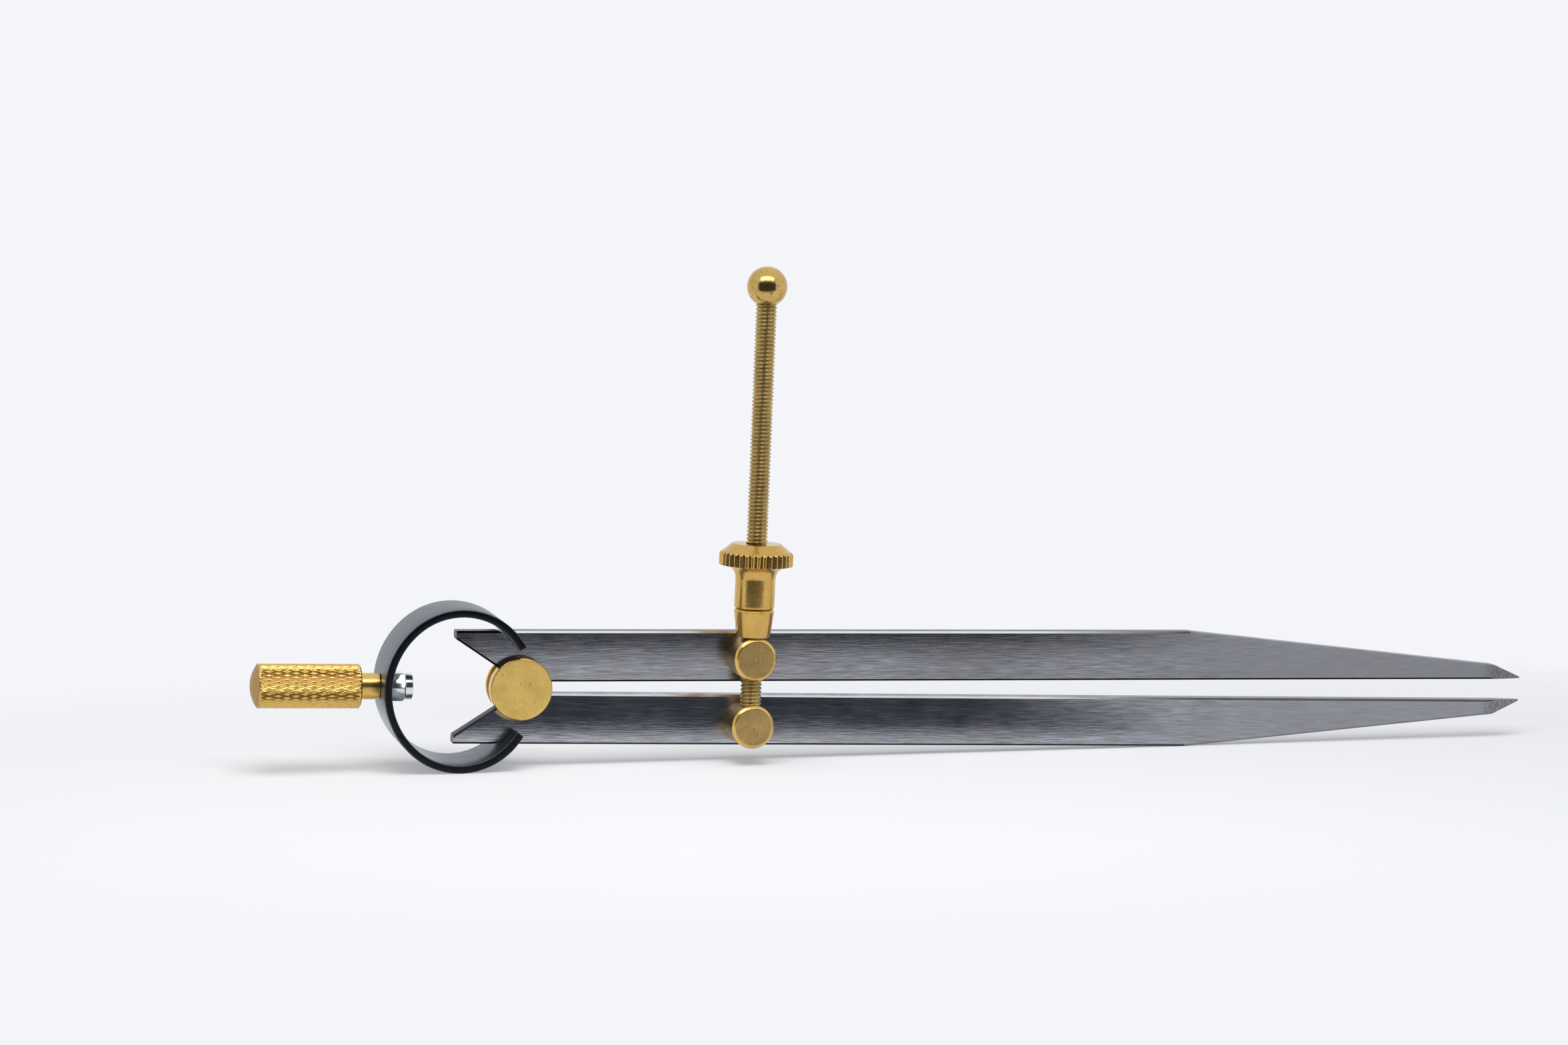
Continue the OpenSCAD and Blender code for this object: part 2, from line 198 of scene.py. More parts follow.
def revolve(profile, place, steps, radius=None):
    """Points, faces and marks of a turned shape; place maps (r cos, r sin, h) rows to the tool frame.

    A profile that ends where it starts is a ring, and one that doesn't starts and ends on the axis.
    """
    profile = np.asarray(profile, float)
    closed = np.allclose(profile[0], profile[-1])
    angles = np.arange(steps) * 2 * math.pi / steps
    lengths = np.concatenate([[0], np.cumsum(np.linalg.norm(np.diff(profile, axis=0), axis=1))])
    points, rows, along = [], [], []
    for (r, h), s in zip(profile[:-1] if closed else profile, lengths):
        if r < 1e-6:
            rows.append([len(points)] * steps)
            points.append((0, 0, h))
            along.append(s)
            continue
        ring = np.full(steps, r) if radius is None else radius(r, h, angles)
        rows.append(list(range(len(points), len(points) + steps)))
        points += list(zip(ring * np.cos(angles), ring * np.sin(angles), [h] * steps))
        along += [s] * steps
    if closed:
        rows.append(rows[0])
    faces = []
    for low, high in zip(rows, rows[1:]):
        for i in range(steps):
            k = (i + 1) % steps
            corners = [low[i], low[k], high[k], high[i]]
            face = [v for n, v in enumerate(corners) if v not in corners[:n]]
            if len(face) > 2:
                faces.append(face)
    points = np.array(points, float)
    radial = np.linalg.norm(points[:, :2], axis=1)
    marks = {"lathe": along, "radial": radial, "height": points[:, 2].copy()}
    return place(points), faces, marks


def about_x(points):
    """Turned shapes along X: h runs to the points."""
    return np.column_stack([points[:, 2], points[:, 1], -points[:, 0]])


def about_front(x, z):
    """Turned shapes about an axis to the front through (x, z): h runs to the front."""
    return lambda p: np.column_stack([p[:, 0] + x, -p[:, 2], p[:, 1] + z])


def about_screw(points):
    """Turned shapes on the cross screw: h is the height."""
    return np.column_stack([points[:, 0] + POST_X, points[:, 1] + SCREW_Y, points[:, 2]])


# Materials

class Paint:
    """A node material with short calls for the few nodes that are used here."""

    def __init__(self, name):
        self.material = bpy.data.materials.new(name)
        self.material.use_nodes = True
        self.nodes = self.material.node_tree.nodes
        self.links = self.material.node_tree.links
        self.shader = self.nodes["Principled BSDF"]
        self.bumped = None

    def set(self, **values):
        for key, value in values.items():
            self.shader.inputs[key.replace("_", " ")].default_value = value
        return self

    def link(self, source, target):
        self.links.new(source, target)

    def feed(self, value, socket):
        """Links an output to a socket, or sets a plain value on it."""
        if hasattr(value, "is_output"):
            self.link(value, socket)
        else:
            socket.default_value = value

    def mark(self, name):
        node = self.nodes.new("ShaderNodeAttribute")
        node.attribute_name = name
        return node.outputs["Fac"]

    def math(self, operation, a, b=0.0, c=0.0):
        node = self.nodes.new("ShaderNodeMath")
        node.operation = operation
        for socket, value in zip(node.inputs, (a, b, c)):
            self.feed(value, socket)
        return node.outputs[0]

    def combine(self, *parts):
        node = self.nodes.new("ShaderNodeCombineXYZ")
        for socket, value in zip(node.inputs, parts):
            self.feed(value, socket)
        return node.outputs[0]

    def place(self, scale):
        """The piece's own coordinates in millimetres times a scale."""
        coords = self.nodes.new("ShaderNodeTexCoord")
        node = self.nodes.new("ShaderNodeVectorMath")
        node.operation = "SCALE"
        self.link(coords.outputs["Object"], node.inputs[0])
        node.inputs["Scale"].default_value = scale / MM
        return node.outputs[0]

    def noise(self, vector, detail=3.0, rough=0.55):
        node = self.nodes.new("ShaderNodeTexNoise")
        node.inputs["Scale"].default_value = 1.0
        node.inputs["Detail"].default_value = detail
        node.inputs["Roughness"].default_value = rough
        self.link(vector, node.inputs["Vector"])
        return node.outputs["Fac"]

    def streaks(self, along, across, seed, detail):
        """Noise drawn out along a bar; its scales are per millimetre of the long and wide marks."""
        long = self.math("MULTIPLY", self.mark("long"), along)
        wide = self.math("MULTIPLY", self.mark("wide"), across)
        return self.noise(self.combine(long, wide, seed), detail)

    def spread(self, value, low, high, to_low=0.0, to_high=1.0):
        """The value mapped from one range to another and held inside it."""
        node = self.nodes.new("ShaderNodeMapRange")
        node.inputs["From Min"].default_value = low
        node.inputs["From Max"].default_value = high
        node.inputs["To Min"].default_value = to_low
        node.inputs["To Max"].default_value = to_high
        self.link(value, node.inputs["Value"])
        return node.outputs["Result"]

    def mix(self, share, a, b):
        """Colour a turned into colour b by a share; sockets 6 and 7 take the two colours."""
        node = self.nodes.new("ShaderNodeMix")
        node.data_type = "RGBA"
        for value, socket in ((share, node.inputs[0]), (a, node.inputs[6]), (b, node.inputs[7])):
            self.feed((*value, 1.0) if isinstance(value, tuple) else value, socket)
        return node.outputs[2]

    def colour(self, source):
        self.link(source, self.shader.inputs["Base Color"])

    def rough(self, source):
        self.link(source, self.shader.inputs["Roughness"])

    def bump(self, height, distance):
        """Adds height, in millimetres times the distance, to the shading."""
        node = self.nodes.new("ShaderNodeBump")
        node.inputs["Distance"].default_value = distance * MM
        self.link(height, node.inputs["Height"])
        if self.bumped:
            self.link(self.bumped, node.inputs["Normal"])
        self.bumped = node.outputs["Normal"]
        self.link(self.bumped, self.shader.inputs["Normal"])


BRASS_DEEP = (0.42, 0.25, 0.065)
BRASS_STAIN = (0.20, 0.13, 0.06)
BRASS_GROOVE = (0.50, 0.30, 0.08)
BRASS_WORN = (0.43, 0.28, 0.11)
BRASS_RIM_HIGHLIGHT = (0.70, 0.47, 0.15)


def brass(name, light, deep, smooth, dull, rings, patch, grain=3.2):
    """Turned brass: lathe rings, uneven tarnish, fine pits, brown in grooves, and a painted highlight on
    rims that are also polished smoother.

    Light and deep are its clean and tarnished colours, smooth and dull their roughness. Rings and
    patch are the strengths of the lathe rings and of the tarnish, and grain is the pits' scale.
    """
    paint = Paint(name).set(Metallic=1.0)
    rim, worn = paint.mark("rim"), paint.mark("worn")
    tarnish = paint.spread(paint.noise(paint.place(0.35)), 0.35, 0.75)
    speckle = paint.spread(paint.noise(paint.place(grain), 2.0), 0.48, 0.70)
    lathe = paint.noise(paint.combine(paint.math("MULTIPLY", paint.mark("lathe"), 8.0), 0.0, 0.0), 2.0)
    tone = paint.mix(paint.math("MULTIPLY", tarnish, patch), light, deep)
    tone = paint.mix(paint.math("MULTIPLY", speckle, patch), tone, deep)
    tone = paint.mix(paint.spread(lathe, 0.4, 0.7, 0.0, 0.4 * rings), tone, deep)
    stain = paint.spread(paint.noise(paint.place(0.8), 3.0), 0.66, 0.72)
    tone = paint.mix(paint.math("MULTIPLY", stain, patch), tone, BRASS_STAIN)
    tone = paint.mix(paint.mark("groove"), tone, BRASS_GROOVE)
    tone = paint.mix(worn, tone, BRASS_WORN)
    # Painted highlight: rims are painted a brighter brass, and their roughness below is halved as real
    # polish
    paint.colour(paint.mix(rim, tone, BRASS_RIM_HIGHLIGHT))
    rough = paint.spread(tarnish, 0.0, 1.0, smooth, dull)
    rough = paint.math("MULTIPLY", rough, paint.spread(rim, 0.0, 1.0, 1.0, 0.5))
    paint.rough(paint.math("ADD", rough, paint.spread(worn, 0.0, 1.0, 0.0, 0.18)))
    paint.bump(lathe, 0.012 * rings)
    paint.bump(speckle, -0.004)
    return paint.material


# Stretches of a leg, from the roller's axis, over which it changes: painted shade sets in, the painted
# highlight on its upper chamfers gives way to painted shade, its finish smooths on the taper, and its
# point is hatched
SHADED = (40.0, 75.0)
PAINTED_HIGHLIGHT_END = (100.0, 130.0)
TAPER = (110.0, 150.0)
POINT = (191.5, 194.0)


def leg_steel(name, gain):
    """Ground bar: scratches along it, warmer and cooler patches, smooth tapers and hatched points.

    The gain brightens its scratched body.
    """
    def lit(*colour):
        return tuple(part * gain for part in colour)

    paint = Paint(name).set(Metallic=1.0, Specular_Tint=(0.65, 0.65, 0.67, 1.0))
    long, edge = paint.mark("long"), paint.mark("edge")
    fine = paint.streaks(0.22, 5.0, 0.0, 4.0)
    coarse = paint.streaks(0.04, 1.0, 3.0, 3.0)
    cloud = paint.noise(paint.place(0.15), 2.0)
    body = paint.spread(long, *TAPER, 1.0, 0.25)
    point = paint.spread(long, *POINT)
    hatch = paint.streaks(2.2, 0.8, 7.0, 2.0)
    streak = paint.mix(paint.spread(fine, 0.3, 0.7), lit(0.15, 0.155, 0.17), lit(0.47, 0.48, 0.525))
    streak = paint.mix(paint.spread(coarse, 0.4, 0.75, 0.0, 0.5), streak, lit(0.14, 0.148, 0.165))
    tone = paint.mix(body, (0.30, 0.305, 0.335), streak)
    tone = paint.mix(paint.spread(cloud, 0.35, 0.7, 0.0, 0.15), tone, (0.34, 0.29, 0.26))
    # Painted shade: past the first stretch the bar is darkened a little
    tone = paint.mix(paint.spread(long, *SHADED, 0.0, 0.16), tone, (0.02, 0.02, 0.024))
    hatched = paint.math("MULTIPLY", point, paint.spread(hatch, 0.35, 0.6, 0.15, 0.8))
    tone = paint.mix(hatched, tone, (0.13, 0.12, 0.115))
    # Painted light on the narrow faces: a painted highlight on the upper chamfers near the roller, and
    # painted shade on them further out, on narrow tops, tails and undersides
    painted_highlight_share = paint.spread(edge, 0.0, 1.0)
    bright = paint.math("MULTIPLY", painted_highlight_share, paint.spread(long, *PAINTED_HIGHLIGHT_END, 1.0, 0.0))
    tone = paint.mix(bright, tone, (0.78, 0.79, 0.82))
    faded = paint.math("MULTIPLY", painted_highlight_share, paint.spread(long, *PAINTED_HIGHLIGHT_END, 0.0, 0.7))
    dark = paint.math("MAXIMUM", faded, paint.spread(edge, 0.0, -1.0))
    paint.colour(paint.mix(dark, tone, (0.03, 0.032, 0.037)))
    paint.rough(paint.spread(cloud, 0.3, 0.7, 0.16, 0.23))
    paint.bump(paint.math("MULTIPLY", fine, body), 0.015)
    paint.bump(paint.math("MULTIPLY", coarse, body), 0.008)
    return paint.material


def bow_steel(name):
    """Blackened spring strip: satin faces with faint rolling lines and pits, dead black edges, and a
    painted pale reflection on part of the lower half.
    """
    paint = Paint(name).set(Metallic=1.0, Specular_Tint=(0.85, 0.87, 0.90, 1.0))
    lines = paint.streaks(0.2, 3.0, 0.0, 3.0)
    pits = paint.spread(paint.noise(paint.place(2.0), 2.0), 0.57, 0.64)
    pits = paint.math("MULTIPLY", pits, paint.mark("pitted"))
    scuff = paint.spread(paint.noise(paint.place(1.6), 3.0), 0.55, 0.75)
    tone = paint.mix(paint.spread(lines, 0.3, 0.7), (0.122, 0.135, 0.152), (0.190, 0.210, 0.232))
    tone = paint.mix(pits, tone, (0.03, 0.031, 0.034))
    # Painted reflection: a pale sheen on part of the lower half
    tone = paint.mix(paint.mark("painted_sheen"), tone, (0.46, 0.48, 0.51))
    rim = paint.mix(scuff, (0.016, 0.018, 0.022), (0.030, 0.032, 0.038))
    paint.colour(paint.mix(paint.mark("edge"), tone, rim))
    paint.rough(paint.spread(lines, 0.3, 0.7, 0.28, 0.40))
    paint.bump(lines, 0.006)
    paint.bump(pits, -0.015)
    return paint.material


def zinc_steel(name):
    """Bright zinc plate with a slight blue cast."""
    paint = Paint(name).set(Metallic=1.0)
    cloud = paint.noise(paint.place(1.2), 3.0)
    paint.colour(paint.mix(paint.spread(cloud, 0.3, 0.7), (0.62, 0.66, 0.69), (0.76, 0.79, 0.81)))
    paint.rough(paint.spread(cloud, 0.3, 0.7, 0.08, 0.14))
    paint.bump(cloud, 0.004)
    return paint.material


def nylon(name):
    """Moulded nylon ring."""
    paint = Paint(name).set(Subsurface_Weight=0.2)
    cloud = paint.noise(paint.place(1.5), 3.0)
    paint.colour(paint.mix(cloud, (0.78, 0.80, 0.78), (0.90, 0.91, 0.89)))
    paint.rough(paint.spread(cloud, 0.3, 0.7, 0.40, 0.55))
    return paint.material


# Brass: clean and tarnished colour, their roughness, lathe rings, tarnish, and for one its grain
brass_bright = brass("brass_bright", (0.68, 0.47, 0.15), (0.38, 0.25, 0.075), 0.13, 0.22, 0.2, 0.7)
brass_turned = brass("brass_turned", (0.68, 0.43, 0.12), BRASS_DEEP, 0.16, 0.25, 0.4, 0.35)
brass_knurl = brass("brass_knurl", (0.78, 0.51, 0.15), (0.53, 0.33, 0.09), 0.24, 0.32, 0.0, 0.4)
brass_face = brass("brass_face", (1.0, 0.70, 0.21), (0.64, 0.40, 0.10), 0.42, 0.50, 0.2, 0.5, 6.0)
brass_dull = brass("brass_dull", (0.60, 0.405, 0.15), BRASS_STAIN, 0.30, 0.42, 1.5, 0.35)
brass_thread = brass("brass_thread", (0.58, 0.44, 0.19), (0.30, 0.21, 0.08), 0.30, 0.40, 0.0, 0.6)
steel_upper = leg_steel("steel_upper", 1.0)
# The lower leg takes a copy of the leg steel whose scratched body is painted lighter, to stand in for
# light
steel_lower = leg_steel("steel_lower", 1.55)
steel_bow = bow_steel("steel_bow")
steel_zinc = zinc_steel("steel_zinc")
nylon_ring = nylon("nylon_ring")


# Bow: two bent halves that meet behind the stud

BOW_STEP = math.radians(1.2)
BOW_CORNER = 0.26
CORNER_POINTS = 4
TIP_PINCH = 0.12
# From the middle of the back: where the bend starts, and where a painted pale reflection lies on the lower
# half
BEND_START = 3.0
PAINTED_SHEEN_PLACES = (2.0, 6.0, 14.0, 20.0)
PAINTED_SHEEN_SHARES = (0.0, 0.9, 0.6, 0.0)
PITS_UPPER = 0.25
PITS_LOWER = 0.9


def bow_stations(start, end, length=0.0):
    """Middle line of the strip from the back to an end: (x, z, outward x, outward z, length)."""
    rows, last = [], None
    for angle in np.linspace(start, end, max(3, round(abs(end - start) / BOW_STEP))):
        x0, z0, r = BOW_SIDE_X, BOW_SIDE_Z, BOW_SIDE_R
        if angle > math.pi - BOW_SPAN:
            x0, z0, r = BOW_BACK_X, 0.0, BOW_BACK_R
        out_x, out_z = math.cos(angle), math.sin(angle)
        x, z = x0 + (r - BOW_T / 2) * out_x, z0 + (r - BOW_T / 2) * out_z
        length += math.hypot(x - last[0], z - last[1]) if last else 0.0
        last = (x, z)
        rows.append((x, z, out_x, out_z, length))
    return rows


def strip(rows, y_low, y_high, flip, forked):
    """A bent bar of the bow's thickness between two Y places, with rounded long edges.

    The forked bar is open at its end, where the prongs go on. A prong is open at its start and has a
    tip.
    """
    half, corner = BOW_T / 2, BOW_CORNER
    slot_sides = [FORK_W / 2 + corner, -FORK_W / 2 - corner] if forked else []
    section = arc(y_high - corner, half - corner, corner, 0, 90, CORNER_POINTS)
    section += [(y, half) for y in slot_sides]
    section += arc(y_low + corner, half - corner, corner, 90, 180, CORNER_POINTS)
    section += arc(y_low + corner, corner - half, corner, 180, 270, CORNER_POINTS)
    section += [(y, -half) for y in slot_sides[::-1]]
    section += arc(y_high - corner, corner - half, corner, 270, 360, CORNER_POINTS)
    points, long, wide, edge, faces = [], [], [], [], []
    count = len(section)
    middle, reach = (y_low + y_high) / 2, (y_high - y_low) / 2 - corner
    inset = [(i, 0.0) for i in range(len(rows))]
    if not forked:
        inset.append((len(rows) - 1, TIP_PINCH))
    for number, (index, pinch) in enumerate(inset):
        x, z, out_x, out_z, length = rows[index]
        for y, r in section:
            y_in = y - math.copysign(min(pinch, abs(y - middle)), y - middle)
            r_in = r - math.copysign(min(pinch, abs(r)), r)
            points.append((x + r_in * out_x, y_in, (z + r_in * out_z) * flip))
            long.append(length)
            wide.append(y + r)
            edge.append(min(1.0, max(0.0, (abs(y - middle) - reach) / corner)))
        if number:
            base = (number - 1) * count
            for i in range(count):
                k = (i + 1) % count
                faces.append((base + i, base + k, base + count + k, base + count + i))
    if forked:
        faces.append(tuple(range(count))[::-1])
    else:
        faces.append(tuple(range(len(points) - count, len(points))))
    return points, faces, {"long": long, "wide": wide, "edge": edge}


def joined(parts):
    """One set of points, faces and marks from several."""
    points, faces, marks = [], [], {}
    for part_points, part_faces, part_marks in parts:
        faces += [tuple(v + len(points) for v in f) for f in part_faces]
        points += list(part_points)
        for mark, values in part_marks.items():
            marks.setdefault(mark, []).extend(values)
    return points, faces, marks


def welded(points, faces, marks):
    """The same shape with points that share a place made one."""
    _, first, new = np.unique(np.round(points, 5), axis=0, return_index=True, return_inverse=True)
    new = np.ravel(new)
    faces = [tuple(int(new[v]) for v in f) for f in faces]
    marks = {mark: np.array(values)[first] for mark, values in marks.items()}
    return np.array(points)[first], faces, marks


def bow_half(name, flip):
    """Half of the bow: the upper one for a flip of 1, the lower for -1."""
    main = bow_stations(math.pi, SEAT_ANGLE)
    fork = bow_stations(SEAT_ANGLE, SEAT_ANGLE - PRONG_ANGLE, main[-1][-1])
    parts = [strip(main, -BOW_HALF_W, BOW_HALF_W, flip, True),
             strip(fork, -BOW_HALF_W, -FORK_W / 2, flip, False),
             strip(fork, FORK_W / 2, BOW_HALF_W, flip, False)]
    points, faces, marks = joined(parts)
    # Bottom of the slot, between the sides of the prongs that face each other
    front = len(parts[0][0])
    back = front + len(parts[1][0])
    slot = [back + i for i in range(CORNER_POINTS, 3 * CORNER_POINTS)]
    slot += [front + i for i in range(3 * CORNER_POINTS, 4 * CORNER_POINTS)]
    slot += [front + i for i in range(CORNER_POINTS)]
    faces.append(tuple(slot[::-1]))
    if flip < 0:
        faces = [f[::-1] for f in faces]
    points, faces, marks = welded(points, faces, marks)
    # Painted pale reflection on part of the lower half
    marks["painted_sheen"] = np.interp(marks["long"], PAINTED_SHEEN_PLACES, PAINTED_SHEEN_SHARES) * (flip < 0)
    marks["pitted"] = np.full(len(points), PITS_LOWER if flip < 0 else PITS_UPPER)
    piece = make(name, points, faces, steel_bow, marks)
    seat_x = BOW_SIDE_X + BOW_SIDE_R * math.cos(SEAT_ANGLE)
    seat_z = BOW_SIDE_Z + BOW_SIDE_R * math.sin(SEAT_ANGLE)
    start, end = to_row([(-BOW_REACH + BEND_START, 0, 0), (seat_x, 0, flip * seat_z)])
    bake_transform(piece)
    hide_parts("bow_spring")


bow_half("bow_upper_half", 1)
bow_half("bow_lower_half", -1)


# Legs: the CAD bars, with wide faces that are shaded as slightly crowned

# Inner and outer edge of a bar, where its narrow faces stop being marked, the tests for its wide
# faces and chamfers, and the angle under which neighbours are one face
LEG_LOW, LEG_HIGH = 1.05, 10.4
KNEE = 130.0
WIDE_FACE = 0.98
CHAMFER = 0.5
SAME_FACE = math.radians(0.5)


def leg(node, flip, crown, crest, material):
    """One leg, with wide faces that are shaded as if crowned.

    Places across the bar run from -1 at its inner edge to 1 at its outer edge. The shading is
    square at the crest, and leans by crown degrees for every 1 from there.
    """
    source = frame["nodes"][node]
    shape = bmesh.new()
    shape.from_mesh(source.data)
    bmesh.ops.remove_doubles(shape, verts=shape.verts, dist=1e-7)
    bmesh.ops.dissolve_limit(shape, angle_limit=SAME_FACE, verts=shape.verts, edges=shape.edges)
    shape.verts.ensure_lookup_table()
    points = to_tool([v.co for v in shape.verts])
    faces = [[v.index for v in f.verts] for f in shape.faces]
    shape.free()
    tilt = flip * REST
    across = np.array([-math.sin(tilt), 0, math.cos(tilt)]) * flip
    long = points @ np.array([math.cos(tilt), 0, math.sin(tilt)])
    wide = points @ across
    share = np.clip((wide - LEG_LOW) / (LEG_HIGH - LEG_LOW) * 2 - 1, -1, 1)
    piece = make(node + "_bar", points, faces, material, {"long": long, "wide": wide})
    crowned(piece.data, (share - crest) * math.radians(crown), Vector(across @ AXES))
    edged(piece.data, long)
    finished(piece, node, "leg_steel", node)


def crowned(mesh, lean, across):
    """Shading normals that lean across the bar on its wide faces; every other face stays flat."""
    normals = []
    for face in mesh.polygons:
        for point in face.vertices:
            tilt = lean[point] if abs(face.normal.y) > WIDE_FACE else 0.0
            normals.append((face.normal + across * tilt).normalized())
    mesh.normals_split_custom_set(normals)


def edged(mesh, long):
    """Marks narrow faces for painted light: 1 for a painted highlight on up-facing chamfers, -0.5 for
    painted half shade on narrow tops, -1 for painted shade on tails and undersides.

    Wide faces and everything past the knee get 0.
    """
    edge = []
    for face in mesh.polygons:
        place = np.mean(long[list(face.vertices)])
        tone = -1.0
        if abs(face.normal.y) > WIDE_FACE or place > KNEE:
            tone = 0.0
        elif face.normal.z > 0 and place > 0:
            tone = 1.0 if abs(face.normal.y) > CHAMFER else -0.5
        edge.append(tone)
    mesh.attributes.new("edge", "FLOAT", "FACE").data.foreach_set("value", edge)


leg("upper_leg", 1, crown=4.5, crest=0.0, material=steel_upper)
leg("lower_leg", -1, crown=7.5, crest=1.12, material=steel_lower)


# Handle: domed end, diamond knurl, neck and stud

NECK_R = 2.4
NECK_LEN = 3.47
NECK_LEFT = -BOW_REACH - NECK_LEN
NECK_GAP = 0.02
STUD_R = 1.25
# Knurl: diamonds around and their length, depth of the grooves, steepness and curve of their sides,
# run-out at both ends, and mesh steps in a diamond around and along
KNURL_STARTS = 30
KNURL_PITCH = 3.23
KNURL_DEPTH = 0.18
KNURL_STEEP = 1.6
KNURL_CURVE = 1.15
KNURL_FADE = 0.25
KNURL_AROUND = 12
KNURL_ROWS = 22
GRIP_CHAMFER = 0.25
DOME_LIP = 0.1
DOME_H = 1.3
DOME_R = (GRIP_R ** 2 + DOME_H ** 2) / (2 * DOME_H)


def handle():
    """Grip, neck and stud in one turned piece."""
    knurl_left, knurl_right = GRIP_LEFT + DOME_H + DOME_LIP, NECK_LEFT - GRIP_CHAMFER
    half_angle = math.degrees(math.asin(GRIP_R / DOME_R))
    dome = [(r, GRIP_LEFT + DOME_R - h) for h, r in arc(0, 0, DOME_R, 0, half_angle, 12)]
    dome[0] = (0.0, GRIP_LEFT)
    end = list(soften(dome + [(GRIP_R, knurl_left)], 0.15, 3))
    steps = KNURL_STARTS * KNURL_AROUND
    count = round((knurl_right - knurl_left) / KNURL_PITCH * KNURL_ROWS)
    rows = np.linspace(knurl_left, knurl_right, count)
    seat = -BOW_REACH - NECK_GAP
    neck = soften([(GRIP_R, knurl_right), (GRIP_R - GRIP_CHAMFER, NECK_LEFT), (NECK_R, NECK_LEFT),
                   (NECK_R, seat), (STUD_R, seat), (STUD_R, STUD_END), (0, STUD_END)], 0.12, 3)
    profile = np.array(end + [(GRIP_R, h) for h in rows[1:-1]] + list(neck))

    def radius(r, h, angles):
        if not knurl_left < h < knurl_right:
            return np.full(len(angles), r)
        fade = min(1.0, (h - knurl_left) / KNURL_FADE, (knurl_right - h) / KNURL_FADE)
        turn = angles / (2 * math.pi) * KNURL_STARTS
        step = (h - knurl_left) / KNURL_PITCH
        ridge_a = np.abs((turn + step) % 1 - 0.5) * 2
        ridge_b = np.abs((turn - step) % 1 - 0.5) * 2
        dip = 1 - np.minimum(1.0, KNURL_STEEP * np.minimum(ridge_a, ridge_b))
        return r - KNURL_DEPTH * dip ** KNURL_CURVE * max(0.0, fade)

    points, faces, marks = revolve(profile, about_x, steps, radius)
    inside = (marks["height"] > knurl_left) & (marks["height"] < knurl_right)
    marks["groove"] = np.clip((GRIP_R - marks["radial"]) / KNURL_DEPTH * 2.0 - 1.0, 0, 1) * inside
    marks["worn"] = np.clip((knurl_left - marks["height"]) / DOME_LIP, 0, 1)
    finished(make("handle_grip", points, faces, brass_knurl, marks), "bow", "brass", "handle")


handle()


# Lock nut: the CAD shape with softened edges

NUT_EDGE = 0.12
NUT_EDGE_ANGLE = math.radians(25)


def lock_nut():
    source = frame["nodes"]["lock_nut"]
    points = node_points("lock_nut")
    faces = [list(f.vertices) for f in source.data.polygons]
    piece = make("lock_nut_hex", points, faces, steel_zinc)
    weld = piece.modifiers.new("weld", "WELD")
    weld.merge_threshold = 1e-6
    bevel = piece.modifiers.new("bevel", "BEVEL")
    bevel.width = NUT_EDGE * MM
    bevel.segments = 2
    bevel.limit_method = "ANGLE"
    bevel.angle_limit = NUT_EDGE_ANGLE
    finished(piece, "bow", "zinc_steel", "lock_nut")


lock_nut()


# Roller, posts, collar, ball: turned brass

FLANGE_EDGE = 0.15
BACK_FLANGE_R = 5.5
BACK_FLANGE_EDGE = 0.25
CORE_R = 3.6
FLANGE_RIM = 0.2
POST_EDGE = 0.5
POST_RIM = 0.58
DIMPLE_R = 0.22
DIMPLE_DEPTH = 0.18
SHANK_R = 2.25
RIVET_R = 2.85
RIVET_END_R = 2.2
RIVET_EDGE = 0.45
COLLAR_LOW_R = 3.1
COLLAR_WIDE_R = 3.75
COLLAR_EDGE = 0.35


def turned(name, profile, place, material, body, slot, nodes, steps=96, radius=None, rim=None):
    """A turned piece; rim is the least radius and height of its rim, which gets a painted highlight."""
    points, faces, marks = revolve(profile, place, steps, radius)
    if rim:
        marks["rim"] = (marks["radial"] > rim[0]) & (marks["height"] > rim[1])
    return finished(make(name, points, faces, material, marks), body, slot, *nodes)


def roller():
    inside = FACE + SIDE_FIT
    front, back = -FLANGE_FRONT, -FLANGE_BACK
    profile = soften([(0, back), (BACK_FLANGE_R - BACK_FLANGE_EDGE, back),
                      (BACK_FLANGE_R, back + BACK_FLANGE_EDGE), (BACK_FLANGE_R, -inside),
                      (CORE_R, -inside), (CORE_R, inside), (FLANGE_R, inside),
                      (FLANGE_R, front - FLANGE_EDGE), (FLANGE_R - FLANGE_EDGE, front),
                      (0, front)], 0.06)
    turned("roller_spool", refine(profile, 0.5), about_front(0, 0), brass_face, "bow", "brass",
           ["fulcrum_roller"], 128, rim=(FLANGE_R - FLANGE_RIM, inside))


def post(side, z):
    """A post with its shank through the leg, riveted over the washer behind it."""
    inside = FACE + SIDE_FIT
    washer = inside + WASHER_T
    front, back = -POST_FRONT, -POST_BACK
    profile = soften([(0, back), (RIVET_END_R, back), (RIVET_R, back + RIVET_EDGE), (RIVET_R, -washer),
                      (SHANK_R, -washer), (SHANK_R, inside), (POST_R, inside),
                      (POST_R, front - POST_EDGE), (POST_R - POST_EDGE, front),
                      (DIMPLE_R, front), (0.0, front - DIMPLE_DEPTH)], 0.1)
    turned(side + "_post_body", refine(profile, 0.3), about_front(POST_X, z), brass_dull,
           side + "_post", "dull_brass", [side + "_post"], rim=(POST_R - POST_RIM, front - POST_RIM))


def collar():
    profile = soften([(BORE_R, COLLAR_LOW), (COLLAR_LOW_R, COLLAR_LOW),
                      (COLLAR_WIDE_R, COLLAR_TOP - COLLAR_EDGE),
                      (COLLAR_WIDE_R - COLLAR_EDGE, COLLAR_TOP), (BORE_R, COLLAR_TOP)], 0.12)
    profile = np.vstack([refine(profile, 0.3), profile[:1]])
    turned("thrust_collar_body", profile, about_screw, brass_turned, "upper_post", "brass",
           ["thrust_collar"])


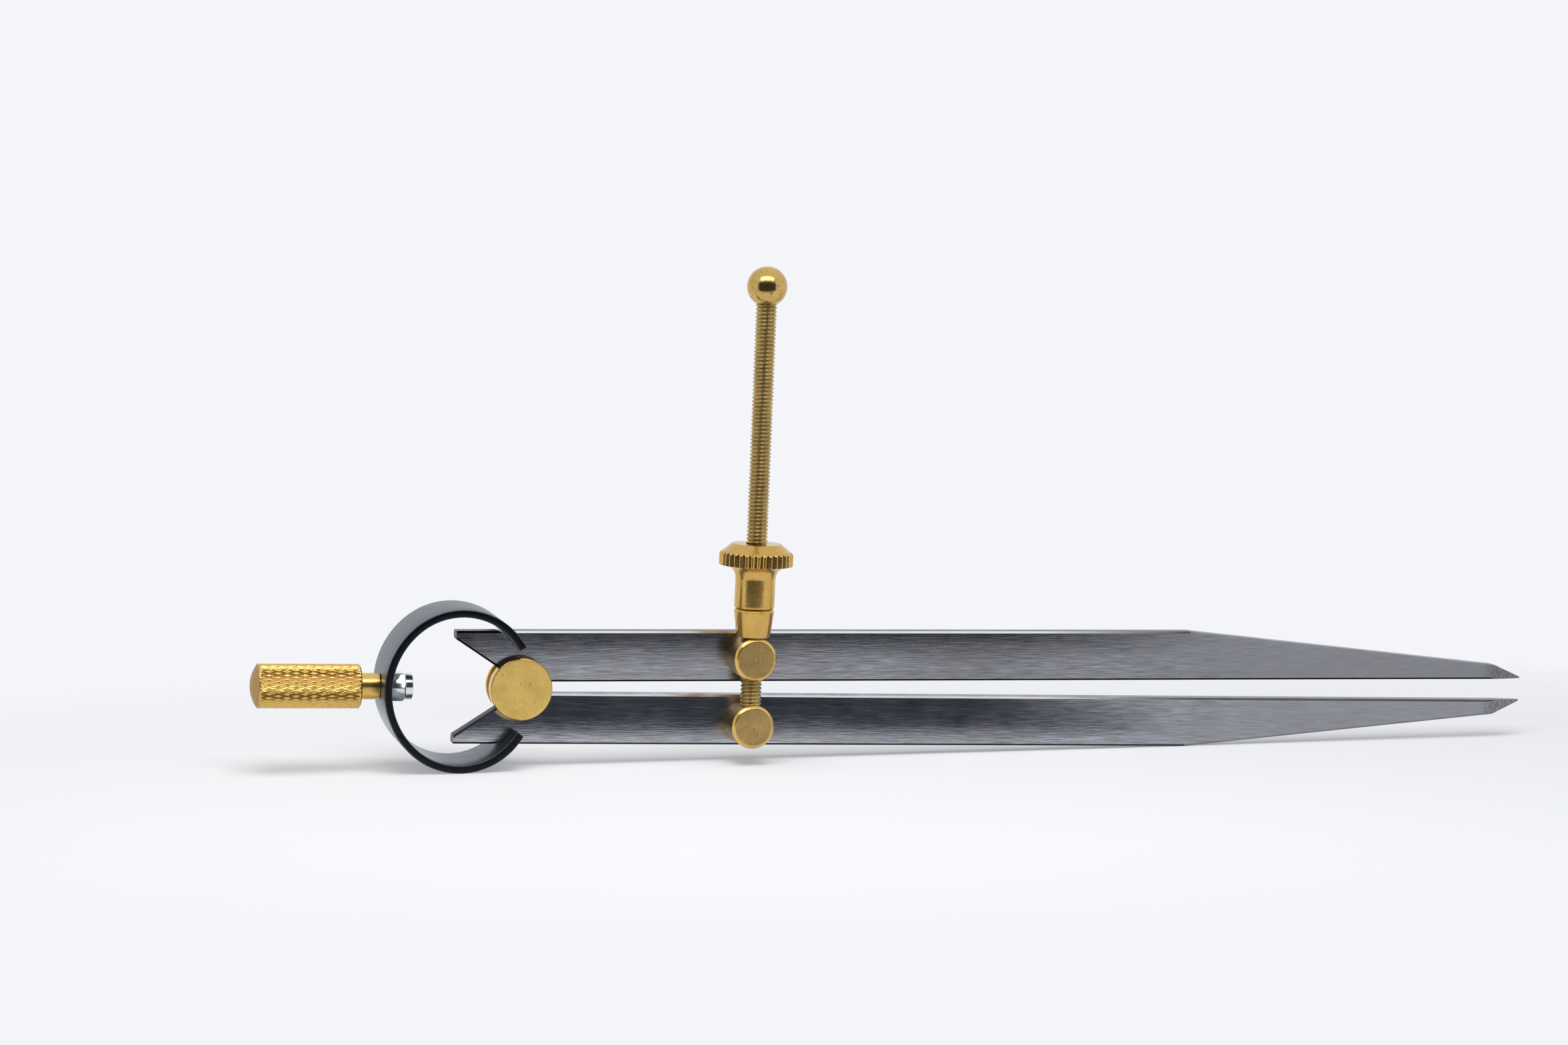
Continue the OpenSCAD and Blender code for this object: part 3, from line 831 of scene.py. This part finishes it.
def ball():
    centre = BALL_TOP - BALL_R
    low = math.degrees(math.asin((BALL_LOW - centre) / BALL_R))
    profile = [(0, BALL_LOW), (SCREW_R, BALL_LOW)] + arc(0, centre, BALL_R, low, 90, 40)
    profile[-1] = (0.0, BALL_TOP)
    turned("screw_ball_body", profile, about_screw, brass_bright, "lower_post", "brass", ["screw_ball"])


roller()
post("upper", POST_Z)
post("lower", -POST_Z)
collar()
ball()


# Adjusting nut with its V-grooved rim

TEETH = 36
TOOTH = 0.42
TOOTH_STEEP = 1.15
TOOTH_STEPS = 10
NUT_RIM = NUT_LOW + 7.9
NUT_CONE = NUT_RIM + 2.2
TEETH_LOW = NUT_RIM - 0.2
RIM_EDGE_W = 0.5
RIM_EDGE_H = 0.1
NUT_TOP_R = 4.5
BARREL_R = 3.7
BARREL_EDGE = 0.2
FLARE_R = 2.4


def nut():
    flare = arc(BARREL_R + FLARE_R, NUT_RIM - FLARE_R, FLARE_R, 180, 90, 10)
    barrel = [(BORE_R, NUT_LOW), (BARREL_R - BARREL_EDGE, NUT_LOW), (BARREL_R, NUT_LOW + BARREL_EDGE)]
    head = [(NUT_R - RIM_EDGE_W, NUT_RIM), (NUT_R, NUT_RIM + RIM_EDGE_H), (NUT_R, NUT_CONE),
            (NUT_TOP_R, NUT_TOP), (BORE_R, NUT_TOP)]
    profile = refine(soften(barrel + flare + head, 0.08, 3), 0.35)
    profile = np.vstack([profile, profile[:1]])

    def radius(r, h, angles):
        tooth = np.abs(((angles + math.pi / 2) / (2 * math.pi) * TEETH) % 1 - 0.5) * 2
        groove = NUT_R - TOOTH * np.clip(1 - tooth * TOOTH_STEEP, 0, 1)
        return np.minimum(r, groove) if h > TEETH_LOW else np.full(len(angles), r)

    turned("adjusting_nut_body", profile, about_screw, brass_turned, "adjusting_nut", "brass",
           ["adjusting_nut"], TEETH * TOOTH_STEPS, radius)


nut()


# Screw with a real right-hand thread

PITCH = 0.7
THREAD_DEPTH = 0.30
THREAD_SLOPE = 1.5
THREAD_CREST = 0.35
THREAD_ROWS = 10
THREAD_STEPS = 40
THREAD_END = BALL_LOW + 0.5


def screw():
    count = round((THREAD_END - SCREW_LOW) / PITCH * THREAD_ROWS)
    heights = np.linspace(SCREW_LOW, THREAD_END, count)
    profile = [(0, SCREW_LOW)] + [(SCREW_R, h) for h in heights] + [(0, THREAD_END)]

    def radius(r, h, angles):
        phase = np.abs((h / PITCH - angles / (2 * math.pi)) % 1 - 0.5) * 2
        return r - THREAD_DEPTH * np.clip((1 - phase) * THREAD_SLOPE - THREAD_CREST, 0, 1)

    turned("adjusting_screw_thread", profile, about_screw, brass_thread, "lower_post", "dull_brass",
           ["adjusting_screw"], THREAD_STEPS, radius)


screw()


# CAD pieces that keep their shape and get a finish
for node, material in (("upper_post_washer", steel_zinc), ("lower_post_washer", steel_zinc),
                       ("lock_nut_insert", nylon_ring)):
    plain = frame["nodes"][node]
    plain.data.materials.clear()
    plain.data.materials.append(material)


# Stage: floor, world, dark opening in front, lamps and camera

# Camera fitted to the photo: place in tool millimetres, directions in the tool frame
CAMERA_PLACE = (-124.44, -640.22, 97.33)
CAMERA_RIGHT = (0.96546, -0.25728, 0.04114)
CAMERA_FORWARD = (0.26018, 0.96038, -0.09983)
PHOTO_W = 2352
FOCAL_PIXELS = 5400

# Lamps and opening are set around the screw, square to the camera
HUB = Vector(to_row((POST_X, SCREW_Y, 0)))
TOWARDS = -Vector(np.array(CAMERA_FORWARD) @ AXES)
TOWARDS = Vector((TOWARDS.x, TOWARDS.y, 0)).normalized()
PALE = (0.905, 0.915, 0.945, 1.0)
WORLD_LIGHT = 0.22

# Floor, in metres: its half size, the oval over which it fades out, and its clear share
FLOOR_TONE = (0.95, 0.955, 0.975, 1.0)
FLOOR_HALF = 1.0
FLOOR_OVAL = (0.5, 1.0, 0.0)
FLOOR_SHIFT = (0.0, 0.015, 0.0)
FLOOR_FADE = (0.075, 0.14)
FLOOR_CLEAR = 0.33

# Opening and lamps, in metres: sizes, distances from the hub towards the camera, and heights; the
# lamps point at the height AIM_H over the hub's place on the floor
OPENING_GLOW = (0.050, 0.057, 0.070, 1.0)
OPENING_HALF_W = 0.21
OPENING_H = 0.20
OPENING_AWAY = 0.165
FRONT_LAMP_SIZE = (0.36, 0.10)
FRONT_LAMP_AWAY = 0.17
FRONT_LAMP_H = 0.30
FRONT_LAMP_WATTS = 0.46
CEILING_LAMP_SIZE = (0.5, 0.35)
CEILING_LAMP_AWAY = 0.10
CEILING_LAMP_H = 0.80
CEILING_LAMP_WATTS = 3.4
AIM_H = 0.03


def stage_plane(name, corners, material):
    """A four-cornered sheet that isn't part of the object."""
    mesh = bpy.data.meshes.new(name)
    mesh.from_pydata([tuple(c) for c in corners], [], [(0, 1, 2, 3)])
    mesh.materials.append(material)
    plane = bpy.data.objects.new(name, mesh)
    bpy.context.scene.collection.objects.link(plane)
    return plane


def seen(nodes, links):
    """1 for rays that see the background: from the camera, in metal and through glass."""
    path = nodes.new("ShaderNodeLightPath")
    share = path.outputs["Is Camera Ray"]
    for ray in ("Is Glossy Ray", "Is Transmission Ray"):
        either = nodes.new("ShaderNodeMath")
        either.operation = "MAXIMUM"
        links.new(share, either.inputs[0])
        links.new(path.outputs[ray], either.inputs[1])
        share = either.outputs[0]
    return share


def floor():
    """Pale floor that keeps soft shadows and fades into the world, so that no far edge shows.

    It lets a share of the pale world through, so a leg that swings below it still shows.
    """
    paint = Paint("floor_paint").set(Roughness=0.7, Specular_IOR_Level=0.15, Base_Color=FLOOR_TONE)
    clear = paint.nodes.new("ShaderNodeBsdfTransparent")
    thin = paint.nodes.new("ShaderNodeMixShader")
    paint.link(paint.math("MULTIPLY", seen(paint.nodes, paint.links), FLOOR_CLEAR), thin.inputs[0])
    paint.link(paint.shader.outputs[0], thin.inputs[1])
    paint.link(clear.outputs[0], thin.inputs[2])
    coords = paint.nodes.new("ShaderNodeTexCoord")
    oval = paint.nodes.new("ShaderNodeVectorMath")
    oval.operation = "MULTIPLY_ADD"
    paint.link(coords.outputs["Object"], oval.inputs[0])
    oval.inputs[1].default_value = FLOOR_OVAL
    oval.inputs[2].default_value = FLOOR_SHIFT
    distance = paint.nodes.new("ShaderNodeVectorMath")
    distance.operation = "LENGTH"
    paint.link(oval.outputs[0], distance.inputs[0])
    fade = paint.nodes.new("ShaderNodeMixShader")
    paint.link(paint.spread(distance.outputs["Value"], *FLOOR_FADE), fade.inputs[0])
    paint.link(thin.outputs[0], fade.inputs[1])
    paint.link(clear.outputs[0], fade.inputs[2])
    paint.link(fade.outputs[0], paint.nodes["Material Output"].inputs["Surface"])
    half = FLOOR_HALF
    corners = [(-half, -half, 0), (half, -half, 0), (half, half, 0), (-half, half, 0)]
    stage_plane("floor", corners, paint.material)


def opening():
    """Dark front opening of the light box, which only reflections see."""
    paint = Paint("opening_paint").set(Base_Color=(0.0, 0.0, 0.0, 1.0), Specular_IOR_Level=0.0,
                                       Emission_Color=OPENING_GLOW, Emission_Strength=1.0)
    side = Vector((-TOWARDS.y, TOWARDS.x, 0)) * OPENING_HALF_W
    foot = HUB + TOWARDS * OPENING_AWAY
    foot.z = 0.0
    rise = Vector((0, 0, OPENING_H))
    corners = [foot - side, foot + side, foot + side + rise, foot - side + rise]
    panel = stage_plane("opening", corners, paint.material)
    panel.visible_camera = False
    panel.visible_diffuse = False
    panel.visible_shadow = False


def world():
    """Pale all round where it is seen or mirrored, and much weaker as a light."""
    scene_world = bpy.data.worlds.new("studio")
    bpy.context.scene.world = scene_world
    scene_world.use_nodes = True
    nodes, links = scene_world.node_tree.nodes, scene_world.node_tree.links
    pale = nodes["Background"]
    pale.inputs["Color"].default_value = PALE
    light = nodes.new("ShaderNodeBackground")
    light.inputs["Color"].default_value = PALE
    light.inputs["Strength"].default_value = WORLD_LIGHT
    mix = nodes.new("ShaderNodeMixShader")
    links.new(seen(nodes, links), mix.inputs[0])
    links.new(light.outputs[0], mix.inputs[1])
    links.new(pale.outputs[0], mix.inputs[2])
    links.new(mix.outputs[0], nodes["World Output"].inputs["Surface"])


def lamp(name, size, away, height, watts, mirrored):
    """Soft lamp that points at the middle of the part; a mirrored one shows in the metal."""
    data = bpy.data.lights.new(name, "AREA")
    data.shape = "RECTANGLE"
    data.size, data.size_y = size
    data.energy = watts
    item = bpy.data.objects.new(name, data)
    bpy.context.scene.collection.objects.link(item)
    place = HUB + TOWARDS * away
    item.location = (place.x, place.y, height)
    item.visible_camera = False
    item.visible_glossy = mirrored
    aim = Vector((HUB.x, HUB.y, AIM_H)) - item.location
    item.rotation_euler = aim.to_track_quat("-Z", "Y").to_euler()


def camera():
    """The photo's own view."""
    data = bpy.data.cameras.new("camera")
    data.sensor_fit = "HORIZONTAL"
    data.sensor_width = 36.0
    data.lens = FOCAL_PIXELS / PHOTO_W * data.sensor_width
    data.clip_start = 0.01
    item = bpy.data.objects.new("camera", data)
    bpy.context.scene.collection.objects.link(item)
    right = Vector(np.array(CAMERA_RIGHT) @ AXES).normalized()
    back = -Vector(np.array(CAMERA_FORWARD) @ AXES).normalized()
    up = back.cross(right).normalized()
    right = up.cross(back)
    item.matrix_world = Matrix((right, up, back)).transposed().to_4x4()
    item.location = to_row(CAMERA_PLACE)
    bpy.context.scene.camera = item


floor()
opening()
world()
lamp("front_lamp", FRONT_LAMP_SIZE, FRONT_LAMP_AWAY, FRONT_LAMP_H, FRONT_LAMP_WATTS, True)
lamp("ceiling_lamp", CEILING_LAMP_SIZE, CEILING_LAMP_AWAY, CEILING_LAMP_H, CEILING_LAMP_WATTS, False)
camera()

bpy.context.scene.view_settings.view_transform = "Standard"
